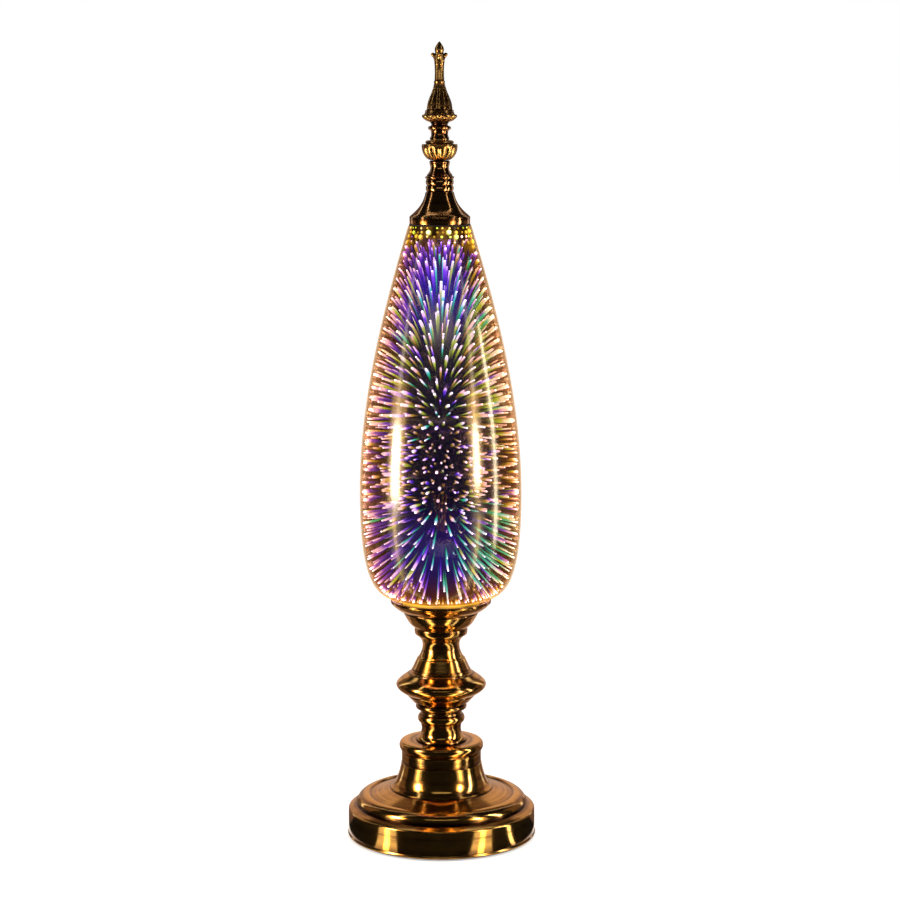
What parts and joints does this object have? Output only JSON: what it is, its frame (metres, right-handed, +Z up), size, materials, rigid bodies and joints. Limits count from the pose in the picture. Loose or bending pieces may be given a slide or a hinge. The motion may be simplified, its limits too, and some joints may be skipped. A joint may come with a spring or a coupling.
{
  "type": "table lamp",
  "caption": "Table lamp of turned antique brass with a tall teardrop shade of mirror-coated glass, a spired finial, a lift-off shade and a screw-in bulb.",
  "frame": {"origin": "middle of the felt pad's resting face, on the table", "axes": "+Z up along the lamp's axis, -Y toward the front that the picture shows, the cord inlet at +Y"},
  "size_m": [0.156, 0.1575, 0.6498],
  "materials": {
    "antique_brass": "antique, turned and brushed",
    "bright_brass": "bright",
    "steel": "zinc plated",
    "cast_iron": "raw casting",
    "felt": "felt",
    "rubber": "matte",
    "black_plastic": "satin",
    "holder_plastic": "satin",
    "block_plastic": "satin",
    "white_plastic": "gloss",
    "lead_sheath": "satin",
    "insulator": "gloss",
    "led": "phosphor coat",
    "bulb_glass": "clear",
    "coated_glass": "mirror coated inside"
  },
  "bodies": {
    "base": {"base_pad": "felt", "base_cover": "steel", "cover_screws": "steel", "ballast": "cast_iron", "base_shell": "antique_brass", "pedestal_bell": "antique_brass", "pedestal_collar": "antique_brass", "neck_spool": "antique_brass", "knop_lower": "antique_brass", "knop_upper": "antique_brass", "waist_spool": "antique_brass", "cup_cone": "antique_brass", "shade_gallery": "antique_brass", "tie_rod": "steel", "rod_nuts": "steel", "rod_washers": "steel", "holder_body": "holder_plastic", "holder_shell": "bright_brass", "holder_contact": "bright_brass", "inner_lead": "lead_sheath", "terminal_block": "block_plastic", "cord_gland": "black_plastic", "gland_nut": "black_plastic", "switch_body": "black_plastic", "switch_nut": "steel", "switch_lead": "lead_sheath", "shade_gasket": "rubber"},
    "switch_button": {"switch_button": "black_plastic"},
    "shade": {"shade_glass": "coated_glass"},
    "bulb_foot": {"bulb_foot": "insulator"},
    "bulb": {"bulb_cap": "steel", "bulb_collar": "white_plastic", "bulb_envelope": "bulb_glass", "bulb_stem": "bulb_glass", "bulb_filaments": "led"},
    "cap": {"cap_gasket": "rubber", "cap_plug": "rubber", "cap_spacer": "steel", "cap_bell": "antique_brass", "cap_collar": "antique_brass", "finial_stud": "steel", "stud_nut": "steel", "stud_washer": "steel", "finial_neck": "antique_brass", "finial_bowl": "antique_brass"},
    "finial_washer": {"finial_washer": "bright_brass"},
    "finial": {"finial_spool": "antique_brass", "finial_disc": "antique_brass", "finial_spire": "antique_brass", "finial_tip": "antique_brass"}
  },
  "joints": [
    {"name": "switch_press", "type": "slide", "parent": "base", "child": "switch_button", "axis": [-0.5736, -0.8192, 0], "range_m": [0, 0.0025], "stiffness_N_per_m": 600, "springref_m": -0.001},
    {"name": "shade_lift", "type": "slide", "parent": "base", "child": "shade", "axis": [0, 0, 1], "range_m": [0, 0.14]},
    {"name": "cap_lift", "type": "slide", "parent": "shade", "child": "cap", "axis": [0, 0, 1], "range_m": [0, 0.03]},
    {"name": "finial_rise", "type": "slide", "parent": "cap", "child": "finial_washer", "axis": [0, 0, 1], "range_m": [0, 0.008]},
    {"name": "finial_turn", "type": "hinge", "parent": "finial_washer", "child": "finial", "pos_m": [0, 0, 0.5726], "axis": [0, 0, 1], "range_deg": [0, 2890]},
    {"name": "bulb_rise", "type": "slide", "parent": "base", "child": "bulb_foot", "axis": [0, 0, 1], "range_m": [0, 0.01128]},
    {"name": "bulb_turn", "type": "hinge", "parent": "bulb_foot", "child": "bulb", "pos_m": [0, 0, 0.2173], "axis": [0, 0, 1], "range_deg": [0, 1450]}
  ],
  "couplings": [
    {"joint": "finial_turn", "follows": "finial_rise", "rad_per_m": 6283.2},
    {"joint": "bulb_turn", "follows": "bulb_rise", "rad_per_m": 2228.1}
  ]
}
